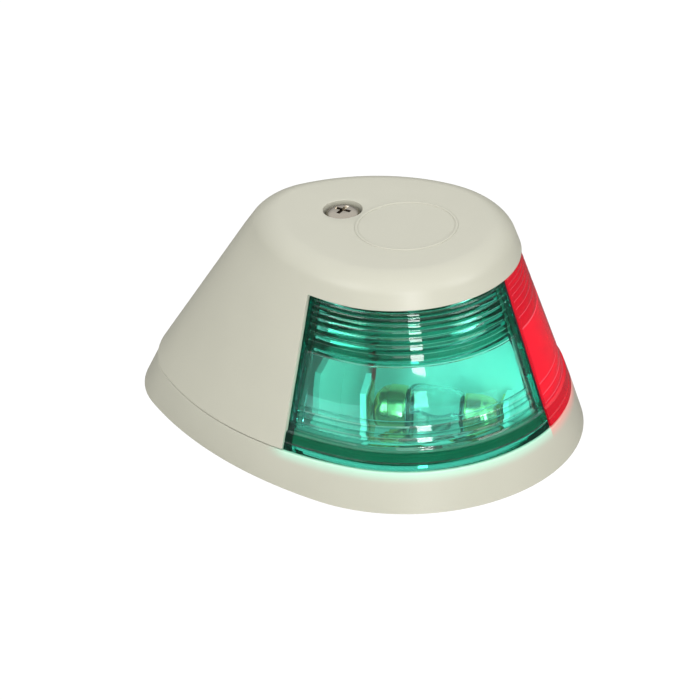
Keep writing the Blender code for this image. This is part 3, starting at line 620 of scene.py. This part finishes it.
def make_base():
    """Tray with a ledge for the cover, a tall boss for its screw, and the pads, collar and socket inside."""
    tray = inset(SEAM_OUTLINE, TRAY_INSET)
    rings = [ring(tray, LENS_X, FLOOR_Z), ring(tray, LENS_X, LEDGE_Z)]
    ledge = [(SPIGOT_TOP, TRAY_INSET), (SPIGOT_TOP, SPIGOT_INSET), (LEDGE_Z, SPIGOT_INSET),
             (LEDGE_Z, GROOVE_INSETS[1]), (GROOVE_FLOOR, GROOVE_INSETS[1]), (GROOVE_FLOOR, GROOVE_INSETS[0]),
             (LEDGE_Z, GROOVE_INSETS[0])]
    rings += [wall_ring(z, amount) for z, amount in ledge]
    for sine, cosine in quarter_turns(4):
        rings.append(ring(inset(SEAM_OUTLINE, LEDGE_EDGE * (1 - sine)), LENS_X,
                          LEDGE_Z - LEDGE_EDGE * (1 - cosine)))
    foot = [(DECK_INSET, 0), (GASKET_INSET, 0), (GASKET_INSET, UNDER_Z)]
    rings += [ring(inset(DECK_OUTLINE, amount), LENS_X, z) for amount, z in foot]
    base = loft("base_tray", rings, BASE_IVORY_PAINTED_GLOW)
    under = FLOOR_Z - SINK
    combine(base, "UNION",
            pillar("boss", SCREW_X, 0, under, BOSS_TOP, BOSS_R, BOSS_FOOT_R),
            block("boss_rib", (SCREW_X - RIB_HALF[0], -RIB_HALF[1], under),
                  (SCREW_X + RIB_HALF[0], RIB_HALF[1], RIB_TOP)),
            pillar("cable_collar", CABLE_X, 0, under, COLLAR_TOP, COLLAR_R),
            block("screen_socket", (SOCKET_X[0], -SOCKET_HALF, under),
                  (SOCKET_X[1], SOCKET_HALF, SOCKET_TOP)))
    for y in (-DECK_SCREW_Y, DECK_SCREW_Y):
        combine(base, "UNION", pillar("deck_pad", DECK_SCREW_X, y, under, PAD_TOP, PAD_R))
        combine(base, "DIFFERENCE", pillar("deck_hole", DECK_SCREW_X, y, *THROUGH, DECK_HOLE_R))
    combine(base, "DIFFERENCE",
            pillar("insert_bore", SCREW_X, 0, *INSERT_HOLE),
            pillar("cable_bore", CABLE_X, 0, *THROUGH, CABLE_R),
            block("screen_slot", (SLOT_X[0], -SLOT_HALF, FLOOR_Z + 0.0001), (SLOT_X[1], SLOT_HALF, SLOT_TOP)))
    settle(base)
    whiten_inside(base, lambda spot: spot.z > FLOOR_Z - INSIDE_SLACK and egg_inset(spot) > WHITE_INSET)
    round_edges(base, BASE_EDGE, segments=2)
    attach(base, "base")
    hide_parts("base")


# --- Lenses ----------------------------------------------------------------------------------------------
RIDGES_UP = 7
RIDGES_DOWN = 3
RIDGE_STEPS = 8
RIDGE_DEPTH = 0.0008
RIDGE_DRAFT = 0.00006                    # height over which the step between two ridges slopes
RIDGE_VALLEY = 0.00013                   # how far the face dips between two ridges
RIDGE_MARGIN = (0.0006, 0.0004)          # plain height over the foot and under the top
LENS_INSET = 0.0006                      # the face behind the cover's
WALL_THICK = 0.0029                      # at a ridge's crest
FOOT_INSET = 0.0002
FOOT_LINE = 0.0024                       # from the foot's top down to the groove round it
LENS_EDGE = 0.0003                       # bevel along the top
TOP_ZONE = 0.0001
BORDER = math.radians(3.2)               # plain strip at each end of a lens
BORDER_SHARES = (0, 0.03, 0.97, 1)       # where the columns of that strip stand
BORDER_END = 0.985                       # part of the strip that is plain
LENS_COLUMNS = 72                        # between the strips
LENS_GAP = 0.0003                        # between the lens and the cover's window
BOW_GAP = 0.0004                         # between the lens and the centreline


def ridge_levels(first, last, side):
    """(height, depth of the face, thickness of the wall) over one ridge, from the clear band outwards.

    The ridge runs from first to last, both distances from the clear band's middle, on the side 1 above or -1
    below it.
    """
    levels = []
    for step in range(RIDGE_STEPS + 1):
        share = step / RIDGE_STEPS
        offset = first + (last - first) * share
        if step == 0:
            offset += RIDGE_DRAFT
        if step == RIDGE_STEPS:
            offset -= RIDGE_DRAFT
        rise = RIDGE_DEPTH * (offset ** 2 - first ** 2) / (last ** 2 - first ** 2)
        valley = RIDGE_VALLEY * (2 * share - 1) ** 2
        levels.append((LENS_CENTRE_Z + side * offset, LENS_INSET + valley, WALL_THICK - rise))
    return levels


def lens_levels():
    """(height, depth of the face, thickness of the wall), from the foot up."""
    starts = [LENS_BAND * math.sqrt(n) for n in range(RIDGES_UP + 2)]
    ridged = []
    for n in range(RIDGES_DOWN, 0, -1):
        ridged += reversed(ridge_levels(starts[n], starts[n + 1], -1))
    for step in range(2 * RIDGE_STEPS + 1):
        offset = LENS_BAND * (step / RIDGE_STEPS - 1)
        offset = max(-LENS_BAND + RIDGE_DRAFT, min(LENS_BAND - RIDGE_DRAFT, offset))
        thick = WALL_THICK - RIDGE_DEPTH * (offset / LENS_BAND) ** 2
        ridged.append((LENS_CENTRE_Z + offset, LENS_INSET, thick))
    for n in range(1, RIDGES_UP + 1):
        ridged += ridge_levels(starts[n], starts[n + 1], 1)
    lowest, highest = FOOT_TOP + RIDGE_MARGIN[0], LENS_TOP_Z - RIDGE_MARGIN[1]
    ridged = [level for level in ridged if lowest < level[0] < highest]
    line = FOOT_TOP - FOOT_LINE
    foot = [(SEAM_Z, FOOT_INSET + 0.0001), (SEAM_Z + 0.0001, FOOT_INSET),
            (line - 0.0002, FOOT_INSET), (line, FOOT_INSET + 0.0002), (line + 0.0002, FOOT_INSET),
            (FOOT_TOP - 0.0002, FOOT_INSET), (FOOT_TOP, FOOT_INSET + 0.0002), (FOOT_TOP + 0.0002, LENS_INSET)]
    top = [(LENS_TOP_Z - LENS_EDGE, LENS_INSET), (LENS_TOP_Z, LENS_INSET + LENS_EDGE)]
    return [(*level, WALL_THICK) for level in foot] + ridged + [(*level, WALL_THICK) for level in top]


def make_lens(name, node, sign, material):
    """Half of the wrap-round lens: gently ridged outside, with horizontal prisms inside."""
    last = LENS_ANGLE - LENS_GAP / SEAM_OUTLINE[0]
    strip = [BORDER * share for share in BORDER_SHARES]
    inner_span = last - 2 * BORDER
    columns = strip + [BORDER + inner_span * i / LENS_COLUMNS for i in range(1, LENS_COLUMNS)]
    columns += [last - angle for angle in reversed(strip)]
    bm = bmesh.new()
    rows = []
    for z, face_depth, thick in lens_levels():
        outline, x = wall_section(z)
        face, inside = [], []
        for angle in columns:
            at_end = min(angle, last - angle) < BORDER * BORDER_END
            plain_face = min(face_depth, LENS_INSET) if z < LENS_TOP_Z - TOP_ZONE else face_depth
            front = plain_face if at_end else face_depth
            back = LENS_INSET + (WALL_THICK if at_end else thick)
            for depth, points in ((front, face), (back, inside)):
                shape = inset(outline, depth)
                start = math.asin(BOW_GAP / shape[0])
                bearing = start + (last - start) * angle / last
                radius = egg_radius(shape, bearing)
                points.append(bm.verts.new((x + radius * math.cos(bearing),
                                            sign * radius * math.sin(bearing), z)))
        rows.append((face, inside))
    count = len(columns)
    for (low_face, low_in), (high_face, high_in) in zip(rows, rows[1:]):
        for i in range(count - 1):
            bm.faces.new((low_face[i], low_face[i + 1], high_face[i + 1], high_face[i]))
            bm.faces.new((low_in[i], low_in[i + 1], high_in[i + 1], high_in[i]))
        for i in (0, count - 1):
            bm.faces.new((low_face[i], low_in[i], high_in[i], high_face[i]))
    for face, inside in (rows[0], rows[-1]):
        for i in range(count - 1):
            bm.faces.new((face[i], face[i + 1], inside[i + 1], inside[i]))
    lens = add(name, finish_mesh(bm, name, sharp=20), material)
    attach(lens, "cover")
    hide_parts(node)


# --- Bulbs -----------------------------------------------------------------------------------------------
BULB_X = 0.0288                          # the middle of a bulb
BULB_Y = 0.0106
BULB_Z = 0.0137
BULB_TURN = math.radians(22)
BULB_HALF = 0.0140
CAP_R = 0.0042
CAP_LENGTH = 0.0075
CAP_CONE = 0.0036                        # length of the rounded cone
CAP_TIP_R = 0.0010
CAP_STEP = 0.00015                       # where the cone meets the barrel
CAP_WALL = 0.0005
CAP_DEPTH = 0.0038                       # of the hollow that takes the glass
RIM_BEAD = 0.0001
GLASS_R = 0.0047
GLASS_WALL = 0.0005
GLASS_SHOULDER = 0.0030                  # length of the rounding, and of the neck in the cap
GLASS_GAP = 0.0003                       # between the glass's shoulder and the cap's rim
NECK_R = CAP_R - 0.0011
COIL_TURNS = 22
COIL_STEPS = 12                          # points in each turn
COIL_R = 0.0003
COIL_HALF = 0.0034
COIL_SAG = 0.0008
WIRE_R = 0.00005


def set_behind_lens(obj, sign, flip=False):
    """Lay a piece made round Z along its bulb's axis, with its top to the rear if flipped."""
    place = Matrix.Translation((BULB_X, sign * BULB_Y, BULB_Z)) @ Matrix.Rotation(-sign * BULB_TURN, 4, "Z")
    obj.matrix_world = place @ Matrix.Rotation(-math.pi / 2 if flip else math.pi / 2, 4, "Y")


def make_cap(end, side, sign):
    """Brass cap with a rolled rim, a step and a rounded cone that ends in a small flat tip."""
    barrel = CAP_LENGTH - CAP_CONE
    profile = [(0, CAP_LENGTH)]
    profile += arc((CAP_TIP_R, CAP_LENGTH), (CAP_R - CAP_STEP, barrel), (CAP_TIP_R, barrel), 12)
    profile += [(CAP_R, barrel - 2 * RIM_BEAD), (CAP_R, 6 * RIM_BEAD), (CAP_R - RIM_BEAD, 4 * RIM_BEAD),
                (CAP_R, 2 * RIM_BEAD), (CAP_R - RIM_BEAD, 0), (CAP_R - CAP_WALL, 0),
                (CAP_R - CAP_WALL, CAP_DEPTH), (0, CAP_DEPTH)]
    profile = [(radius, height + BULB_HALF - CAP_LENGTH) for radius, height in profile]
    cap = turned("bulb_cap_%s_%s_fine" % (end, side), profile, BRASS)
    set_behind_lens(cap, sign, flip=end == "rear")
    finish_piece(cap, "base", "bulb_cap_%s_%s" % (end, side))


def make_glass(side, sign):
    """Glass tube, necked in at both ends."""
    half = BULB_HALF - CAP_LENGTH - GLASS_GAP
    swell, end = half - GLASS_SHOULDER, half + GLASS_SHOULDER
    outer = [(NECK_R, end), (NECK_R, half + GLASS_GAP)]
    outer += arc((NECK_R + 0.0006, half), (GLASS_R, swell), (NECK_R + 0.0006, swell), 10)
    inner = [(NECK_R - GLASS_WALL, end), (NECK_R - GLASS_WALL, half - 0.0004)]
    inner += arc((NECK_R + 0.0001, half - 0.0006), (GLASS_R - GLASS_WALL, swell - 0.0004),
                 (NECK_R + 0.0001, swell - 0.0004), 10)
    outer += [(radius, -height) for radius, height in reversed(outer)]
    inner += [(radius, -height) for radius, height in reversed(inner)]
    glass = turned("bulb_glass_%s_fine" % side, outer + list(reversed(inner)), GLASS, closed=True)
    set_behind_lens(glass, sign)
    finish_piece(glass, "base", "bulb_glass_" + side)


def make_filament(side, sign):
    """Coiled tungsten filament that sags a little between its two lead wires."""
    curve = bpy.data.curves.new("coil", "CURVE")
    curve.dimensions = "3D"
    curve.bevel_depth = WIRE_R
    curve.bevel_resolution = 1
    curve.use_fill_caps = True
    spline = curve.splines.new("POLY")
    spline.points.add(COIL_TURNS * COIL_STEPS)
    for i, point in enumerate(spline.points):
        share = i / (COIL_TURNS * COIL_STEPS) * 2 - 1
        turn = 2 * math.pi * i / COIL_STEPS
        sag = COIL_SAG * (1 - share * share)
        point.co = (COIL_R * math.sin(turn) + sag, COIL_R * math.cos(turn), COIL_HALF * share, 1)
    guide = bpy.data.objects.new("coil", curve)
    bpy.context.scene.collection.objects.link(guide)
    bpy.context.view_layer.update()
    mesh = bpy.data.meshes.new_from_object(guide.evaluated_get(bpy.context.evaluated_depsgraph_get()))
    bpy.data.objects.remove(guide, do_unlink=True)
    mesh.materials.clear()
    mesh.shade_smooth()
    coil = add("bulb_filament_%s_fine" % side, mesh, TUNGSTEN)
    set_behind_lens(coil, sign)
    finish_piece(coil, "base", "bulb_filament_" + side)


def finish_piece(obj, body, node):
    """Hand a piece over to its body in place of a node of the frame."""
    bpy.context.view_layer.update()
    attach(obj, body)
    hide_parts(node)


# --- Cover screw and the ring on the roof ------------------------------------------------------------------
HEAD_LOW = 0.0493
HEAD_R = 0.0041
HEAD_HIGH = HEAD_LOW + 0.0024
HEAD_SIDE = HEAD_LOW + 0.0008            # top of the head's upright side
HEAD_FLAT_R = HEAD_R * 0.45
HEAD_EDGE = 0.0001
SCREW_R = 0.00208
SCREW_TIP = HEAD_LOW - 0.01905
THREAD_PITCH = 0.000794
THREAD_DEPTH = 0.00036
THREAD_SHARES = (0.45, 0.92)             # of a turn: down to its root, and back out to its crest
PLAIN_LENGTH = 0.0012                    # of the shank, under the head
TIP_EDGE = 0.0006
CROSS_TOP = (HEAD_HIGH + 0.001, 0.0026)  # height and half length of the recess's arms, over the head
CROSS_FOOT = (HEAD_HIGH - 0.0014, 0.0013)
CROSS_HALF = 0.00046                     # half thickness of an arm
RING_RADII = (0.0109, 0.0112, 0.0114, 0.0117)


def make_blade(name, turn):
    """Tapered tool for two arms of the cross recess, turned about the screw."""
    bm = bmesh.new()
    corners = []
    for height, half_length in (CROSS_TOP, CROSS_FOOT):
        for a, b in ((-1, -1), (1, -1), (1, 1), (-1, 1)):
            corners.append(bm.verts.new((a * half_length, b * CROSS_HALF, height)))
    for face in ((0, 1, 2, 3), (4, 5, 6, 7), (0, 1, 5, 4), (1, 2, 6, 5), (2, 3, 7, 6), (3, 0, 4, 7)):
        bm.faces.new([corners[i] for i in face])
    blade = add(name, finish_mesh(bm, "cross"), STEEL)
    blade.location = (SCREW_X, 0, 0)
    blade.rotation_euler = (0, 0, turn)
    return blade


def make_cover_screw():
    """Polished pan-head screw with a tapered cross recess and grooves round its shank for the thread."""
    profile = [(0, HEAD_HIGH)]
    profile += arc((HEAD_FLAT_R, HEAD_HIGH), (HEAD_R, HEAD_SIDE), (HEAD_FLAT_R, HEAD_SIDE), 12)
    profile += [(HEAD_R, HEAD_LOW + HEAD_EDGE), (HEAD_R - HEAD_EDGE, HEAD_LOW), (SCREW_R, HEAD_LOW)]
    z = HEAD_LOW - PLAIN_LENGTH
    profile.append((SCREW_R, z))
    while z - THREAD_PITCH > SCREW_TIP + TIP_EDGE:
        profile += [(SCREW_R - THREAD_DEPTH, z - THREAD_PITCH * THREAD_SHARES[0]),
                    (SCREW_R, z - THREAD_PITCH * THREAD_SHARES[1]), (SCREW_R, z - THREAD_PITCH)]
        z -= THREAD_PITCH
    profile += [(SCREW_R - TIP_EDGE, SCREW_TIP), (0, SCREW_TIP)]
    screw = turned("cover_screw_fine", [(radius, height - HEAD_LOW) for radius, height in profile], STEEL)
    screw.location = (SCREW_X, 0, HEAD_LOW)
    for turn in (0, math.pi / 2):
        combine(screw, "DIFFERENCE", make_blade("cross_%d" % (turn > 0), turn))
    settle(screw)
    finish_piece(screw, "cover_screw", "cover_screw")


def make_roof_ring():
    """Faint raised ring on the roof."""
    low = ROOF_Z - 0.0001
    inner, inner_top, outer_top, outer = RING_RADII
    profile = [(inner, low)]
    profile += arc((inner, ROOF_Z), (inner_top, HEIGHT), (inner_top, ROOF_Z), 4)
    profile += arc((outer_top, HEIGHT), (outer, ROOF_Z), (outer_top, ROOF_Z), 4)
    profile.append((outer, low))
    roof_ring = turned("roof_ring", profile, HOUSING, segments=128, closed=True)
    roof_ring.location = (LENS_X, 0, 0)
    bpy.context.view_layer.update()
    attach(roof_ring, "cover")


# --- Carried-over nodes ----------------------------------------------------------------------------------
PREFIX_MATERIALS = {
    "base_gasket": FOAM, "cover_seal": RUBBER, "screw_washer": RUBBER, "light_screen": HOLDER,
    "lens_divider": BLACK, "bulb_holder": HOLDER, "threaded_insert": BRASS, "contact": BRASS,
    "lead_wire": TUNGSTEN, "terminal_screw": STEEL, "holder_screw": STEEL,
}


def dress_nodes():
    """Give the frame's own nodes their materials."""
    for node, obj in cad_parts.items():
        for prefix, material in PREFIX_MATERIALS.items():
            if node.startswith(prefix):
                for slot in obj.material_slots:
                    slot.material = material


# --- Studio ----------------------------------------------------------------------------------------------
SKY_LOW = 0.12                           # strength at the horizon
SKY_RISE = 1.15                          # added to it high up
SKY_SPAN = (0.08, 0.65)                  # heights between which it is added
SEEN_WHITE = 1.05                        # strength that the camera sees in the sky and the floor
FLOOR_HALF = 4.0
FLOOR_DROP = 0.0002                      # the floor lies this far under the object
FLOOR_LIGHT = (0.80, 0.80, 0.79)         # what the floor gives back to matt surfaces
FLOOR_GLOSS = (0.10, 0.10, 0.10)         # and to glossy ones
LIGHT_AIM = Vector((0.01, 0, 0.02))
LIGHT_DISTANCE = 0.9


def direction(azimuth, elevation):
    """Unit vector towards a bearing, measured from the bow towards starboard, and an elevation."""
    return Vector((math.cos(azimuth) * math.cos(elevation), -math.sin(azimuth) * math.cos(elevation),
                   math.sin(elevation)))


def make_camera():
    """Long lens from above the starboard bow."""
    back = direction(CAMERA_AZIMUTH, CAMERA_ELEVATION)
    right = Vector((math.sin(CAMERA_AZIMUTH), math.cos(CAMERA_AZIMUTH), 0))
    up = back.cross(right)
    aim = Vector((LENS_X, 0, 0)) + right * AIM_RIGHT + up * AIM_UP
    turned_right = right * math.cos(CAMERA_ROLL) - up * math.sin(CAMERA_ROLL)
    turned_up = right * math.sin(CAMERA_ROLL) + up * math.cos(CAMERA_ROLL)
    data = bpy.data.cameras.new("camera")
    data.lens = CAMERA_LENS
    data.sensor_width = 36
    data.clip_start = 0.01
    data.clip_end = 20
    camera = bpy.data.objects.new("camera", data)
    bpy.context.scene.collection.objects.link(camera)
    turn = Matrix((turned_right, turned_up, back)).transposed().to_4x4()
    camera.matrix_world = Matrix.Translation(aim + back * CAMERA_DISTANCE) @ turn
    bpy.context.scene.camera = camera


def softbox(name, azimuth, elevation, width, height, radiance):
    """A rectangular light that faces the object, its azimuth in degrees to the right of the camera's."""
    data = bpy.data.lights.new(name, "AREA")
    data.shape = "RECTANGLE"
    data.size = width
    data.size_y = height
    data.energy = radiance * width * height * math.pi
    light = bpy.data.objects.new(name, data)
    bpy.context.scene.collection.objects.link(light)
    away = direction(CAMERA_AZIMUTH - math.radians(azimuth), math.radians(elevation))
    light.location = LIGHT_AIM + away * LIGHT_DISTANCE
    light.rotation_euler = away.to_track_quat("Z", "Y").to_euler()


def make_sky():
    """Bright overhead and dim near the horizon, so that upright glossy faces keep their colour.

    The sky itself looks white.
    """
    world = bpy.data.worlds.new("studio")
    bpy.context.scene.world = world
    world.use_nodes = True
    nodes, links = world.node_tree.nodes, world.node_tree.links
    place = nodes.new("ShaderNodeTexCoord")
    split = nodes.new("ShaderNodeSeparateXYZ")
    links.new(place.outputs["Generated"], split.inputs["Vector"])
    rise = node_math(nodes, links, "MULTIPLY", ramp(nodes, links, split.outputs["Z"], *SKY_SPAN), SKY_RISE)
    strength = node_math(nodes, links, "ADD", rise, SKY_LOW)
    path = nodes.new("ShaderNodeLightPath")
    seen = node_math(nodes, links, "MULTIPLY", path.outputs["Is Camera Ray"], SEEN_WHITE)
    links.new(node_math(nodes, links, "MAXIMUM", strength, seen), nodes["Background"].inputs["Strength"])
    nodes["Background"].inputs["Color"].default_value = (1, 1, 1, 1)


def make_floor():
    """Paper that looks pure white itself, lights the object as a pale grey and is dim in its gloss."""
    mesh = bpy.data.meshes.new("floor")
    half = FLOOR_HALF
    mesh.from_pydata([(-half, -half, 0), (half, -half, 0), (half, half, 0), (-half, half, 0)], [],
                     [(0, 1, 2, 3)])
    material, nodes, links = new_material("floor_paper")
    shader = nodes["Principled BSDF"]
    shader.inputs["Roughness"].default_value = 0.9
    shader.inputs["Specular IOR Level"].default_value = 0.0
    white = nodes.new("ShaderNodeEmission")
    white.inputs["Strength"].default_value = SEEN_WHITE
    path = nodes.new("ShaderNodeLightPath")
    paper = mix_colors(nodes, links, path.outputs["Is Glossy Ray"], FLOOR_LIGHT, FLOOR_GLOSS)
    links.new(paper, shader.inputs["Base Color"])
    mix = nodes.new("ShaderNodeMixShader")
    links.new(path.outputs["Is Camera Ray"], mix.inputs["Fac"])
    links.new(shader.outputs["BSDF"], mix.inputs[1])
    links.new(white.outputs["Emission"], mix.inputs[2])
    links.new(mix.outputs["Shader"], nodes["Material Output"].inputs["Surface"])
    floor = add("floor", mesh, material)
    floor.location.z = -FLOOR_DROP


def make_studio():
    """Sky, floor and five soft lights."""
    make_sky()
    make_floor()
    softbox("left_box", -55, 32, 0.4, 0.4, 3.9)
    softbox("right_box", 58, 28, 0.4, 0.4, 4.0)
    softbox("strip", 7, 50, 0.08, 0.6, 5.2)
    softbox("low_strip", 7, 13, 0.16, 0.30, 16.0)
    softbox("front_box", 0, 22, 0.4, 0.20, 2.3)
    bpy.context.scene.view_settings.view_transform = "Standard"


make_camera()
make_studio()
make_base()
make_cover()
make_lens("green_lens_moulding", "green_lens", -1, GREEN)
make_lens("red_lens_moulding", "red_lens", 1, RED)
for side_name, side_sign in (("starboard", -1), ("port", 1)):
    make_glass(side_name, side_sign)
    make_filament(side_name, side_sign)
    make_cap("rear", side_name, side_sign)
    make_cap("front", side_name, side_sign)
make_cover_screw()
make_roof_ring()
dress_nodes()
